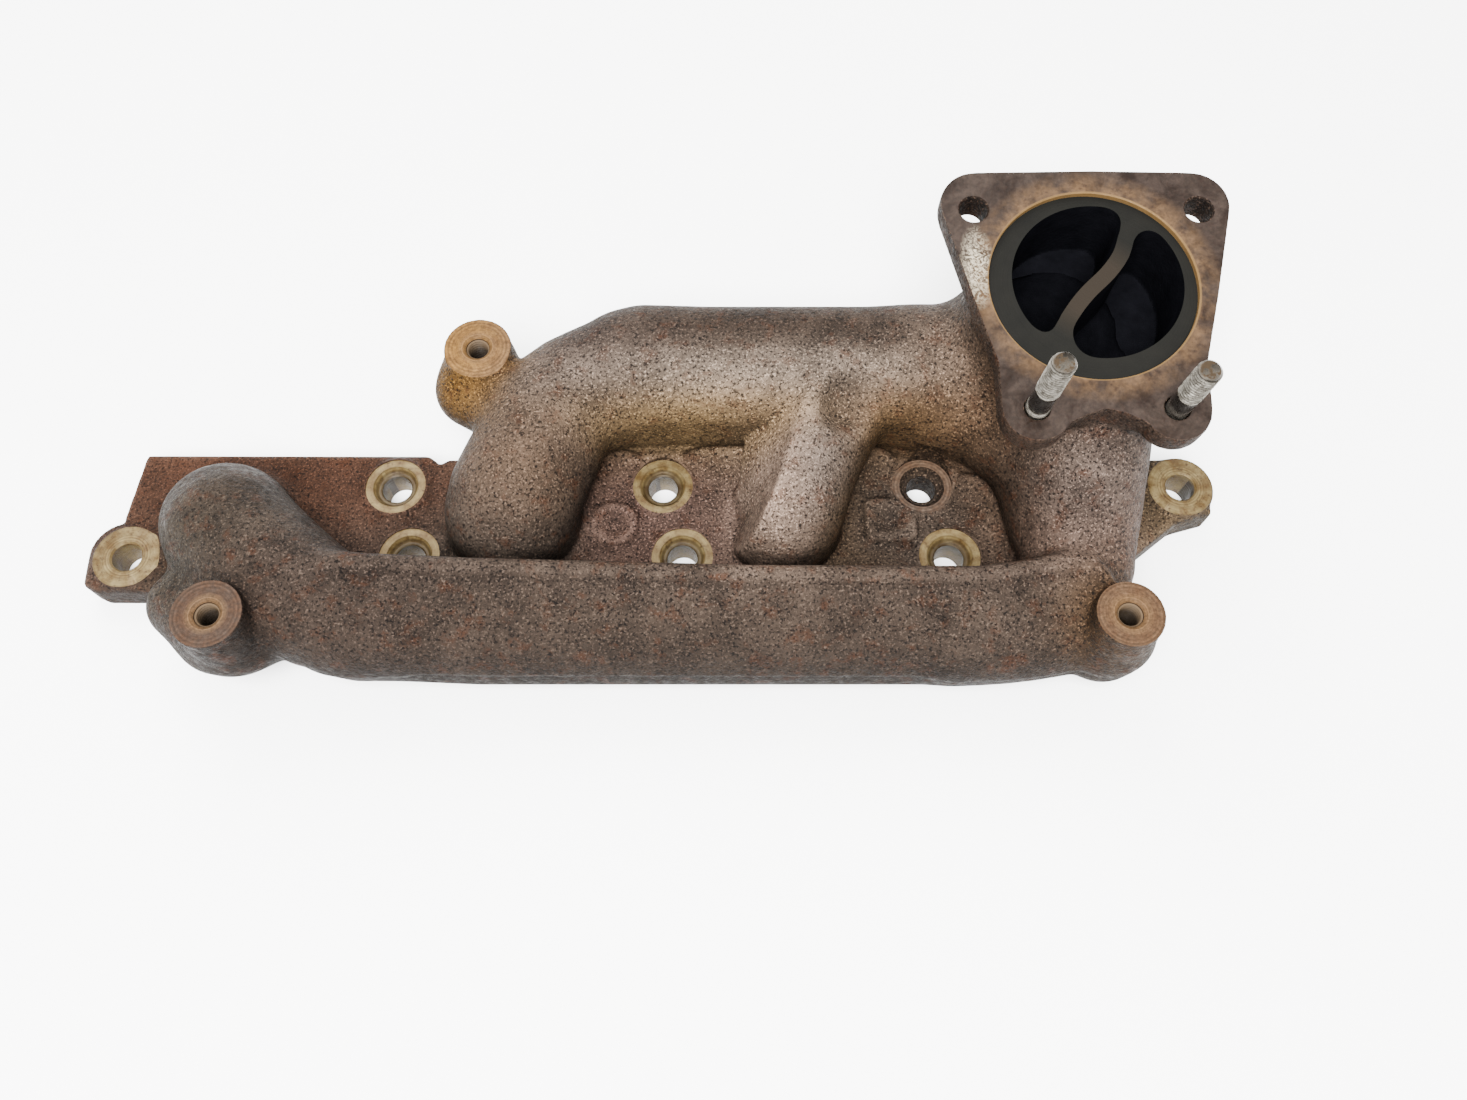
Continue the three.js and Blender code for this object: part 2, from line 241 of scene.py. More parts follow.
def slab(distance2, low, high, edge):
    """An upright prism of an outline between two heights, with a soft edge."""
    middle, half = (low[2] + high[2]) / 2, (high[2] - low[2]) / 2

    def distance(x, y, z):
        return soft_max(distance2(x, y), np.abs(z - middle) - half, edge)

    return distance, low, high


def outlet_axes(x, y, z):
    """The outlet's own axes: u along X, v up the gasket face, w out of it."""
    dy, dz = y - OUTLET[1], z - OUTLET[2]
    c, s = math.cos(TILT), math.sin(TILT)
    return x - OUTLET[0], dy * c + dz * s, dz * c - dy * s


def outlet_point(u, v, w):
    c, s = math.cos(TILT), math.sin(TILT)
    return (OUTLET[0] + u, OUTLET[1] + v * c - w * s, OUTLET[2] + v * s + w * c)


# ---- The casting's outer metal ----
# The head flange's outline, anticlockwise from the left lug: near edge, right lug, far edge.
HEAD_OUTLINE = (
    [(-197, -26.4), (-178, -26.4), (-171, -25.5), (152, -26)]
    + [(166, -14), (184, 0), (190, 2), (198, 4)] + arc(187.5, 14, 12, -0.2, 0.5)
    + [(187, 26), (140, 26), (134, 31), (-56, 31), (-66, 26)]
    + [(-79, 26), (-82, 24), (-86, 27.4), (-190, 27.8), (-193, 1)]
    + arc(-190, -12, 12.6, 0.55, 1.05) + [(-202, -24)]
)

# Round ducts, as points of their middle lines: x, y, z and outer radius.
RUNNER_1 = [(-150.5, -5, 6, 22), (-150.5, -5.5, 20, 22.4), (-143, -14, 23, 22.5),
            (-126, -29, 25, 22), (-106, -41, 26, 19), (-88, -45, 26, 14)]
RUNNER_2 = [(-51, 0, 8, 23.5), (-51, 0, 25, 23), (-44.5, 16, 29, 22.5),
            (-36, 36, 30, 22), (-18, 48, 30, 21), (4, 50, 30, 17)]
RUNNER_3 = [(43, 0, 8, 20), (43.5, 0, 25, 20), (50, 20, 28, 20.5), (62, 44, 31, 21.5)]
LOG_TURN = [(100, -45, 23, 16), (124, -42, 22, 16.5), (141, -26, 23, 18.5), (143, 0, 26, 20)]
RISER_4 = [(143, 0, 6, 22), (143, 0, 26, 21.5), (143, 8, 42, 21), (144, 30, 55, 22),
           (144, 38, 66, 24)]
REAR_RISE = [(88, 50, 30, 18), (108, 51, 32, 22.5), (124, 52, 44, 25), (134, 52, 60, 28)]
CROTCH = [(98, 44, 24, 17), (117, 36, 27, 20), (131, 22, 30, 20)]
DIMPLE = (67, 25, 55, 13.5)           # a round hollow beside the third runner

# The front log's edges, each as X and the edge's Y or Z there, joined by straight lines.
LOG_FAR = [(-110, -24.5), (-60, -26.8), (30, -29.4), (104, -29.8), (114, -28.6),
           (126, -26.4), (135, -25.6), (142, -27.6), (147, -32.5), (152, -43)]
LOG_NEAR = [(-120, -60), (-60, -62), (100, -62), (130, -60.5), (152, -59)]
LOG_BOTTOM = [(-120, 8), (-60, 6), (108, 6), (122, 11)]
LOG_TOP = 45.5
LOG_MIDDLE = 22.0
LOG_HALF = 132.0
RIDGE = (6.0, 1.6)                    # width of the raised ridge at the far edge, and its step
PARTING_LINE = (18.5, 0.8, 0.6)       # from the far edge; half width and height
DRAFT_STEP = (22.0, 1.2, 1.6)         # height of the near side's step, its blend and its depth


def along(edge, x):
    return np.interp(x, *zip(*edge)).astype("f")


def log_section(y, z, far, near, bottom):
    """The front log's section: a sharp far ridge and a round near shoulder."""
    far_side = (y - far) * 0.995 + (z - 44) * 0.08
    lid = (z - LOG_TOP) * 0.985 - (y - far) * 0.13
    lid = lid + RIDGE[1] * np.clip(far - RIDGE[0] - y, 0, 1)
    away, half, height = PARTING_LINE
    lid = lid - height * np.exp(-((y - far + away) / half) ** 2)
    body = soft_max(lid, near - y, 27)
    body = soft_max(body, far_side, 5)
    return soft_max(body, bottom - z, 8)


def front_log():
    def distance(x, y, z):
        level, blend, depth = DRAFT_STEP
        near = along(LOG_NEAR, x) + depth * np.clip((level - z) / blend, 0, 1)
        section = log_section(y, z, along(LOG_FAR, x), near, along(LOG_BOTTOM, x))
        return soft_max(section, np.abs(x - LOG_MIDDLE) - LOG_HALF, 12)

    return distance, (-112, -66, 3), (156, -22, 50)


# The rear log's section: middle in Y and Z, half width, half height and corner radius.
REAR_LOG = (49.5, 30.0, 23.0, 22.0, 17.0)
REAR_LOG_MIDDLE = 41.0
REAR_LOG_HALF = 63.0
REAR_SEAM = (46.0, 0.9, 0.45)         # the parting line along its top: Y, half width, height


def rear_log():
    middle_y, middle_z, half_width, half_height, corner = REAR_LOG
    seam_y, seam_half, seam_height = REAR_SEAM

    def distance(x, y, z):
        u = np.abs(y - middle_y) - half_width + corner
        v = np.abs(z - middle_z) - half_height + corner
        section = np.sqrt(np.maximum(u, 0) ** 2 + np.maximum(v, 0) ** 2)
        section = section + np.minimum(np.maximum(u, v), 0) - corner
        seam = seam_height * np.exp(-((y - seam_y) / seam_half) ** 2) * (z > 40)
        return soft_max(section - seam, np.abs(x - REAR_LOG_MIDDLE) - REAR_LOG_HALF, 20)

    return distance, (-16, 24, 6), (104, 76, 54)


def runner_3(grow=0.0):
    """The third runner, whose flat drafted left flank leaves a sharp crest."""
    crest = np.array([[57.0, 52.0, 53.0], [44.5, 14.0, 47.5], [27.0, -14.0, 20.0]])
    along = (crest[1] - crest[0]) / np.linalg.norm(crest[1] - crest[0])
    steep = np.cross(crest[2] - crest[0], along)
    steep /= np.linalg.norm(steep)
    easy = np.array([-0.72, 0.2, 0.66])
    easy -= along * (easy @ along)
    easy /= np.linalg.norm(easy)
    body = tube(RUNNER_3, 12, grow + 1.0)

    def plane(x, y, z, normal):
        flat = (x - crest[0][0]) * normal[0] + (y - crest[0][1]) * normal[1]
        return flat + (z - crest[0][2]) * normal[2] - grow

    def distance(x, y, z):
        turn = np.clip((y + 2) / 30, 0, 1)
        flank = plane(x, y, z, steep) * (1 - turn) + plane(x, y, z, easy) * turn
        return soft_max(body[0](x, y, z), flank, 1.2)

    return distance, body[1], body[2]


def outlet_outline():
    """The flange's three lobes: two ears with plain holes and one wide lobe with both studs."""
    return (
        arc(-35.5, 29.5, EAR_R, 0.5, 1.08) + [(-39.5, -3), (-32.5, -28)]
        + arc(-STUD_AT[0], STUD_AT[1], STUD_LOBE_R, 1.0, 1.85)
        + [(-6, -45.5), (0, -43.6), (6, -45.3)]
        + arc(STUD_AT[0], STUD_AT[1], STUD_LOBE_R, 1.15, 2.0)
        + [(33, -28), (39.7, -3)] + arc(35.2, 29.5, EAR_R, -0.08, 0.5)
        + [(3, 42.2)]
    )


def outlet_flange():
    outline = polygon(outlet_outline())

    def distance(x, y, z):
        u, v, w = outlet_axes(x, y, z)
        edge = np.abs(w + OUTLET_THICK / 2 - 1) - OUTLET_THICK / 2 - 1
        return soft_max(outline(u, v), edge, 3.5)

    return distance, (90, -6, 66), (192, 96, 94)


def neck():
    def distance(x, y, z):
        u, v, w = outlet_axes(x, y, z)
        side = np.sqrt((u - 1) ** 2 + (v - 1.5) ** 2) - NECK_R
        return soft_max(side, np.maximum(w, -NECK_DEPTH - w), 14)

    return distance, OUTLET - (38, 44, 44), OUTLET + (38, 44, 8)


# Round-cornered pads on the head flange: middle, half size and corner radius.
PADS = [((-16.8, -1.0), (8.5, 8.5), 8.4), ((81.5, 0.5), (9.5, 8.5), 3.5)]


def pad(middle, half, corner):
    """A low raised pad with a shallow hollow in its top."""
    def distance(x, y, z):
        u = np.abs(x - middle[0]) - half[0] + corner
        v = np.abs(y - middle[1]) - half[1] + corner
        side = np.sqrt(np.maximum(u, 0) ** 2 + np.maximum(v, 0) ** 2) - corner
        plate = soft_max(side, np.abs(z - 10) - 4.6, 1.5)
        dimple = np.sqrt((x - middle[0]) ** 2 + (y - middle[1]) ** 2 + (z - 18) ** 2) - 6.4
        return soft_max(plate, -dimple, 1.5)

    low = (middle[0] - half[0], middle[1] - half[1], 4)
    return distance, low, (middle[0] + half[0], middle[1] + half[1], 15)


# Bars of iron that carry the heat-shield bosses: points with radius, and the fillet.
BOSS_WEBS = [
    ([(-160, -35, 20, 12), (-147, -45, 25, 12.5)], 6),
    ([(-148, -47, 18, 10), (-134, -46, 20, 10)], 6),
    ([(-68, 45, 28, 13.5), (-47, 33, 30, 14)], 6),
    ([(150, -46, 18, 13), (150, -46, 30, 12)], 4),
    ([(149, -48, 17, 12), (152, -48, 26, 11.5)], 3),
]


def post(x, y, radius, low, high, edge):
    """An upright round post between two heights, with a soft edge."""
    def circle(u, v):
        return np.sqrt((u - x) ** 2 + (v - y) ** 2) - radius

    return slab(circle, (x - 13, y - 13, low), (x + 13, y + 13, high), edge)


def ball(x, y, z, radius, grow=0.0):
    return tube([(x, y, z, radius), (x + 0.1, y, z, radius)], 1, grow)


def outer_metal():
    field = Field((-207, -69, -5), (203, 97, 113), GRID)
    field.join(slab(polygon(HEAD_OUTLINE), (-204, -33, -2), (200, 27, PLATE), 2.0))
    for x, y in BOLTS:
        field.join(tube([(x, y, 4, LAND_R + 0.4), (x, y, 4.1, LAND_R + 0.4)], 1))
        field.join(post(x, y, LAND_R + 0.2, 0, LAND + 0.7, 1.2), 1.5)
    for points in (RUNNER_1, RUNNER_2, RISER_4):
        field.join(tube(points), 9)
    field.join(rear_log(), 11)
    field.join(runner_3(), 1.5)
    field.cut(ball(*DIMPLE), 4)
    field.join(tube(REAR_RISE), 12)
    field.join(tube(CROTCH, 6), 12)
    field.join(neck(), 14)
    field.join(front_log(), 7)
    field.join(tube(LOG_TURN), 7)
    field.join(outlet_flange(), 6)
    for x, y, z, radius in BOSSES.values():
        stalk = [(x, y, z - 22, radius + 1.5), (x, y, z + 1 - radius, radius + 0.4)]
        field.join(tube(stalk, 2), 4)
        field.join(post(x, y, radius, z - 12, z + 1, 1.0), 2)
    for points, fillet in BOSS_WEBS:
        field.join(tube(points, 3), fillet)
    for middle, half, corner in PADS:
        field.join(pad(middle, half, corner), 1.5)
    field.smooth(1)
    return field


# Passages inside the two logs, from end to end: x, y, z and radius.
FRONT_PASSAGE = [(-98, -44, 22, 10.5), (104, -44, 22, 10.5)]
REAR_PASSAGE = [(-6, 50, 30, 17.5), (94, 50, 30, 17.5)]


def gas_passages():
    """The hollow inside, to be taken out of the outer metal."""
    field = Field((-180, -66, -8), (176, 80, 92), CORE_GRID)
    for points in (RUNNER_1, RUNNER_2, RUNNER_3, RISER_4):
        x, y, _, radius = points[0]
        field.join(tube([(x, y, -24, radius), (x, y, 6, radius)], 1, -WALL))
    for points in (RUNNER_1, RUNNER_2, LOG_TURN, RISER_4, REAR_RISE):
        field.join(tube(points, 14, grow=-WALL), 3)
    field.join(runner_3(-WALL - 1.5))
    for points in (FRONT_PASSAGE, REAR_PASSAGE):
        field.join(tube(points, 1), 3)
    field.cut(ball(*DIMPLE, grow=WALL), 4)
    cuts, (x, y, z) = field.window((90, -20, 30), (190, 100, 100))
    below = outlet_axes(x, y, z)[2] + BORE_DEPTH - 1
    field.values[cuts] = np.maximum(field.values[cuts], below)
    return field


# The dividing wall's middle line across the outlet, in u and v.
DIVIDER = [(20, 31), (13.5, 20), (10.5, 12), (5.5, 5), (-1.5, -2), (-7, -9), (-10.5, -16),
           (-13, -32)]
DIVIDER_HALF = 2.6                    # half its thickness at the face
DIVIDER_DRAFT = 0.03                  # how much that grows per millimetre of depth


def twin_bore():
    """Both streams' mouths, parted by the S-shaped divider."""
    spine = spline([(u, v, 0) for u, v in DIVIDER], 24).astype(np.float32)

    def distance(u, v, w):
        wall = None
        for a, b in zip(spine[:-1], spine[1:]):
            d = b - a
            t = np.clip(((u - a[0]) * d[0] + (v - a[1]) * d[1]) / (d @ d), 0, 1)
            away = np.sqrt((u - a[0] - t * d[0]) ** 2 + (v - a[1] - t * d[1]) ** 2)
            wall = away if wall is None else np.minimum(wall, away)
        thin = DIVIDER_HALF + np.clip(-w - SEAT_DEPTH, 0, 40) * DIVIDER_DRAFT
        bore = np.sqrt((u - BORE_AT[0]) ** 2 + (v - BORE_AT[1]) ** 2) - BORE_R
        flat = soft_max(bore, thin - wall, 9)
        return soft_max(flat, np.maximum(w - 4, -BORE_DEPTH - w), 0)

    field = Field((-32, -32, -40), (34, 34, 6), BORE_GRID)
    field.join((distance, (-32, -32, -40), (34, 34, 6)))
    return field


# ---- Meshes and cuts ----
def make_object(name, vertices, faces, place=None):
    mesh = bpy.data.meshes.new(name)
    points = np.asarray(vertices, dtype=float) * MM
    mesh.from_pydata(points.tolist(), [], faces)
    if place is not None:
        mesh.transform(place)
    mesh.update()
    obj = bpy.data.objects.new(name, mesh)
    bpy.context.scene.collection.objects.link(obj)
    return obj


def bake(obj):
    """Applies the object's modifiers to its mesh."""
    graph = bpy.context.evaluated_depsgraph_get()
    mesh = bpy.data.meshes.new_from_object(obj.evaluated_get(graph))
    obj.modifiers.clear()
    old, obj.data = obj.data, mesh
    bpy.data.meshes.remove(old)


def thin_out(obj, triangles):
    """Merges the smallest faces of a mesh of quads until that many triangles are left."""
    modifier = obj.modifiers.new("thin", "DECIMATE")
    modifier.ratio = min(1.0, triangles / (2 * len(obj.data.polygons)))
    bake(obj)


def subtract(target, cutter):
    modifier = target.modifiers.new("cut", "BOOLEAN")
    modifier.operation = "DIFFERENCE"
    modifier.solver = "MANIFOLD"
    modifier.object = cutter
    bake(target)
    bpy.data.objects.remove(cutter)


def ring_faces(count, facets):
    """Side and end faces of a closed solid made of that many rings of points."""
    faces = []
    for i in range(count - 1):
        for k in range(facets):
            m = (k + 1) % facets
            faces.append((i * facets + k, i * facets + m, (i + 1) * facets + m,
                          (i + 1) * facets + k))
    faces.append(tuple(range(facets))[::-1])
    faces.append(tuple(range((count - 1) * facets, count * facets)))
    return faces


def lathe(profile, x=0.0, y=0.0, facets=ROUND_FACETS):
    """A closed solid of revolution about an upright axis; profile rows are radius, height."""
    vertices = []
    for r, h in profile:
        for k in range(facets):
            a = 2 * math.pi * k / facets
            vertices.append((x + r * math.cos(a), y + r * math.sin(a), h))
    return vertices, ring_faces(len(profile), facets)


def gather(name, solids, place=None):
    """One object that holds several closed solids."""
    vertices, faces = [], []
    for more, shape in solids:
        start = len(vertices)
        vertices += more
        faces += [tuple(i + start for i in face) for face in shape]
    return make_object(name, vertices, faces, place)


def block(low, high):
    """A plain box between two corners."""
    (a, b, c), (d, e, f) = low, high
    corners = [(x, y, z) for z in (c, f) for x, y in ((a, b), (d, b), (d, e), (a, e))]
    faces = [(3, 2, 1, 0), (4, 5, 6, 7)] + [(i, (i + 1) % 4, (i + 1) % 4 + 4, i + 4)
                                           for i in range(4)]
    return corners, faces


OUTLET_PLACE = Matrix.Translation(Vector(OUTLET) * MM) @ Matrix.Rotation(TILT, 4, "X")


def thread_profile(top, bottom):
    """Radii up a tapped M8 hole, from its blind end to above its mouth."""
    rows = [(5.3, top + 1), (5.3, top), (4.15, top - 0.9)]
    h = top - 1.1
    while h > bottom + THREAD_PITCH:
        rows += [(4.1, h), (3.5, h - THREAD_PITCH / 2)]
        h -= THREAD_PITCH
    rows.append((3.4, bottom))
    return rows[::-1]


def bolt_hole_profile(at_end):
    """Radii up a head bolt's hole: the end ones are plain, the others are counterbored."""
    if at_end:
        return [(BOLT_HOLE_R, -1), (BOLT_HOLE_R, LAND - 0.6), (BOLT_HOLE_R + 0.6, LAND),
                (LAND_R + 0.7, LAND), (LAND_R + 0.7, LAND + 14)]
    return [(BOLT_HOLE_R, -1), (BOLT_HOLE_R, LAND - 2.4), (BOLT_HOLE_R + 0.5, LAND - 2),
            (COUNTERBORE_R - 1.3, LAND - 2), (COUNTERBORE_R, LAND - 0.7),
            (COUNTERBORE_R + 0.3, LAND), (LAND_R - 0.7, LAND), (LAND_R - 0.7, LAND + 14)]


def cut_machined_faces(casting):
    planes = [block((-230, -90, -20), (230, 110, 0))]
    for x, y, z, radius in BOSSES.values():
        planes.append(lathe([(radius + 3, z), (radius + 3, z + 14)], x, y, 48))
    subtract(casting, gather("planes", planes))
    subtract(casting, gather("outlet_plane", [block((-56, -62, 0), (56, 52, 26))], OUTLET_PLACE))
    pins = [lathe(bolt_hole_profile(bolt in END_BOLTS), *bolt) for bolt in BOLTS]
    for x, y, z, _ in BOSSES.values():
        pins.append(lathe(thread_profile(z, z - THREAD_DEPTH), x, y, THREAD_FACETS))
    subtract(casting, gather("pins", pins))
    u, v, r = EAR_HOLE
    holes = [lathe([(SEAT_R, -SEAT_DEPTH), (SEAT_R, -0.35), (SEAT_R + 0.35, 0), (SEAT_R + 0.35, 6)],
                   facets=128)]
    for side in (-1, 1):
        holes.append(lathe([(r, -30), (r, -0.5), (r + 0.5, 0), (r + 0.5, 6)], side * u, v, 48))
        holes.append(lathe([(STUD_HOLE_R, -20), (STUD_HOLE_R, -0.3),
                            (STUD_HOLE_R + 0.3, 0), (STUD_HOLE_R + 0.3, 6)],
                           side * STUD_AT[0], STUD_AT[1], 48))
    subtract(casting, gather("outlet_holes", holes, OUTLET_PLACE))


def build_casting():
    """The whole casting, and the field of its outer metal, which its finishes use."""
    field = outer_metal()
    casting = make_object("casting", *field.mesh())
    thin_out(casting, CASTING_TRIANGLES)
    core = make_object("core", *gas_passages().mesh())
    subtract(casting, core)
    bore = make_object("bore", *twin_bore().mesh(), OUTLET_PLACE)
    subtract(casting, bore)
    cut_machined_faces(casting)
    return casting, field


casting, outer = build_casting()
casting.data.shade_smooth()
casting.data.set_sharp_from_angle(angle=math.radians(38))
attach(casting, "root")
STUDS = ("outlet_stud_left", "outlet_stud_right")
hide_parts(*[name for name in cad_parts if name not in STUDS])


# ---- Colours ----
LIGHT_LEVEL = 2.5                     # how much brighter the studio is than a plain white day


def srgb(r, g, b):
    """A colour as it is seen, from 0 to 255, as a linear one that looks so in this studio."""
    return tuple((c / 255 / 12.92 if c <= 10 else ((c / 255 + 0.055) / 1.055) ** 2.4)
                 / LIGHT_LEVEL for c in (r, g, b))


BARE_IRON = srgb(108, 96, 88)
IRON_DEPTH = 0.41                     # the rough skin's share of those colours, as it holds dirt
RICHNESS = 1.35                       # how much stronger the drift of colour is than listed

# Where the iron's colour drifts, with painted light and painted shade in some zones: centre, reach
# in X, Y and Z, and the colour there.
ZONES = [
    ((0, -48, 30), (190, 20, 30), srgb(64, 55, 48)),            # front log, darker
    ((-105, -44, 22), (40, 22, 26), srgb(58, 49, 45)),
    ((-160, -22, 20), (22, 20, 26), srgb(62, 60, 51)),          # first dome's satin flank
    ((-143, -6, 40), (26, 20, 10), srgb(56, 49, 42)),
    ((-150, 18, 10), (90, 24, 7), srgb(76, 44, 28)),            # left plate, maroon rust
    ((-185, -14, 8), (16, 16, 9), srgb(66, 44, 34)),
    ((-58, -12, 18), (24, 20, 16), srgb(58, 54, 48)),
    ((-44, 6, 46), (18, 16, 14), srgb(112, 94, 80)),            # second runner's crown
    ((-35, 42, 46), (34, 20, 18), srgb(100, 88, 82)),
    ((30, 38, 51), (70, 8, 7), srgb(166, 152, 140)),            # rear log's crest, painted highlight
    ((30, 60, 48), (80, 12, 14), srgb(58, 49, 42)),
    ((30, -63, 10), (150, 6, 12), srgb(24, 24, 16)),            # front log's lower wall
    ((20, 27, 34), (50, 10, 15), srgb(216, 184, 144)),          # tan rust under the rear log
    ((86, 27, 34), (22, 12, 18), srgb(124, 98, 74)),
    ((34, 4, 36), (14, 26, 20), srgb(204, 180, 164)),           # third runner's steep left flank and lit right flank, lightened as painted light
    ((58, 14, 46), (10, 22, 10), srgb(142, 130, 122)),
    ((62, 4, 24), (9, 26, 16), srgb(104, 86, 66)),
    ((67, 26, 44), (8, 9, 7), srgb(84, 77, 78)),                # the dimple beside it, painted shade in its hollow
    ((0, 0, 12), (30, 26, 5), srgb(120, 98, 90)),
    ((84, 4, 12), (20, 26, 5), srgb(90, 80, 72)),
    ((112, 40, 44), (20, 24, 26), srgb(150, 124, 104)),           # collector
    ((104, 58, 56), (18, 20, 12), srgb(126, 115, 107)),
    ((120, 10, 22), (12, 26, 22), srgb(92, 76, 64)),
    ((143, -2, 46), (18, 20, 14), srgb(136, 122, 114)),          # fourth riser
    ((148, -14, 30), (22, 14, 16), srgb(146, 122, 110)),
    ((188, 10, 8), (26, 24, 12), srgb(112, 96, 76)),
    ((-66, 50, 40), (16, 17, 15), srgb(176, 130, 64)),
    ((-140, -48, 42), (15, 15, 16), srgb(40, 24, 14)),
    ((150, -48, 40), (15, 15, 16), srgb(112, 84, 56)),
    ((140, 58, 78), (70, 70, 9), srgb(88, 70, 59)),             # outlet flange's sides
]


def zone_colour(points):
    """The iron's slowly changing colour at each point, in millimetres, with some painted light and
    shade.
    """
    total = np.full((len(points), 1), 0.35)
    colour = total * np.array(BARE_IRON)
    for centre, reach, tint in ZONES:
        away = ((points - centre) / reach) ** 2
        weight = np.exp(-away.sum(1, keepdims=True))
        colour += weight * np.array(tint)
        total += weight
    colour /= total
    grey = colour.mean(axis=1, keepdims=True)
    return np.clip(grey + (colour - grey) * RICHNESS, 0, 1)


def sample(field, points):
    """A field's value between its grid points."""
    place = (points - field.low) / field.step
    limit = np.array(field.values.shape) - 2
    base = np.clip(np.floor(place).astype(int), 0, limit)
    part = np.clip(place - base, 0, 1)
    total = np.zeros(len(points))
    for corner in np.ndindex(2, 2, 2):
        weight = np.prod(np.where(corner, part, 1 - part), axis=1)
        total += weight * field.values[tuple((base + corner).T)]
    return total


def write_attribute(mesh, name, kind, values):
    attribute = mesh.attributes.new(name, kind, "POINT")
    key = {"FLOAT": "value", "FLOAT_COLOR": "color", "FLOAT_VECTOR": "vector"}[kind]
    attribute.data.foreach_set(key, np.asarray(values, dtype=np.float32).ravel())


# The casting's finishes, numbered as its material slots.
IRON, SPOTFACE, RUSTY_FACE, OUTLET_FACE, SEAT, SOOT_AND_SHADE, HEAD_FACE = range(7)


def mesh_arrays(mesh):
    """The vertices and face centres in millimetres, and the face normals."""
    points = np.empty(len(mesh.vertices) * 3)
    mesh.vertices.foreach_get("co", points)
    centres = np.empty(len(mesh.polygons) * 3)
    mesh.polygons.foreach_get("center", centres)
    normals = np.empty(len(mesh.polygons) * 3)
    mesh.polygons.foreach_get("normal", normals)
    return points.reshape(-1, 3) / MM, centres.reshape(-1, 3) / MM, normals.reshape(-1, 3)


def in_outlet(points):
    return np.stack(outlet_axes(points[:, 0], points[:, 1], points[:, 2]), axis=1)


def feature_offsets(points):
    """Each point's place about the nearest machined axis, which the turning marks follow."""
    offsets = np.zeros_like(points)
    for x, y in BOLTS:
        near = (np.hypot(points[:, 0] - x, points[:, 1] - y) < 13) & (points[:, 2] < 16)
        offsets[near] = points[near] - (x, y, LAND)
    for x, y, z, _ in BOSSES.values():
        near = (np.hypot(points[:, 0] - x, points[:, 1] - y) < 14) & (points[:, 2] > z - 17)
        offsets[near] = points[near] - (x, y, z)
    local = in_outlet(points)
    near = (np.hypot(local[:, 0], local[:, 1]) < 60) & (local[:, 2] > -NECK_DEPTH)
    offsets[near] = local[near]
    under = np.abs(points[:, 2]) < 0.01
    for x in PORTS:
        near = under & (np.abs(points[:, 0] - x) < 48)
        offsets[near] = points[near] - (x, 0, 0)
    return offsets


def face_finishes(centres, normals, inside):
    """Which finish each face has, from where it is and which way it faces."""
    finish = np.full(len(centres), IRON)
    finish[inside] = SOOT_AND_SHADE
    for x, y in BOLTS:
        away = np.hypot(centres[:, 0] - x, centres[:, 1] - y)
        top = (normals[:, 2] > 0.99) & (np.abs(centres[:, 2] - LAND) < 0.05)
        hole = (away < COUNTERBORE_R + 0.5) & (centres[:, 2] < LAND + 0.1)
        look = RUSTY_FACE if (x, y) == PLAIN_BOLT else SPOTFACE
        finish[(away < LAND_R + 0.75) & top] = look
        finish[hole & (centres[:, 2] > 0.1)] = IRON if look == RUSTY_FACE else look
    for x, y, z, radius in BOSSES.values():
        away = np.hypot(centres[:, 0] - x, centres[:, 1] - y)
        face = (normals[:, 2] > 0.99) & (np.abs(centres[:, 2] - z) < 0.05) & (away < radius + 2)
        hole = (away < 5.6) & (centres[:, 2] > z - 15.2) & (centres[:, 2] < z + 0.1)
        finish[face | hole] = RUSTY_FACE
    local = in_outlet(centres)
    up = normals @ np.array([0, -math.sin(TILT), math.cos(TILT)])
    away = np.hypot(local[:, 0], local[:, 1])
    finish[(np.abs(local[:, 2]) < 0.05) & (up > 0.99)] = OUTLET_FACE
    finish[(np.abs(local[:, 2] + SEAT_DEPTH) < 0.05) & (away < SEAT_R + 0.1)] = SEAT
    ears = np.hypot(np.abs(local[:, 0]) - EAR_HOLE[0], local[:, 1] - EAR_HOLE[1])
    finish[(ears < EAR_HOLE[2] + 0.6) & (local[:, 2] > -15) & (up < 0.99)] = IRON
    rim = (away > SEAT_R - 0.2) & (away < SEAT_R + 0.5) & (np.abs(local[:, 2] + 1) < 1.1)
    finish[rim] = OUTLET_FACE
    finish[(centres[:, 2] < 0.02) & (normals[:, 2] < -0.99)] = HEAD_FACE
    return finish


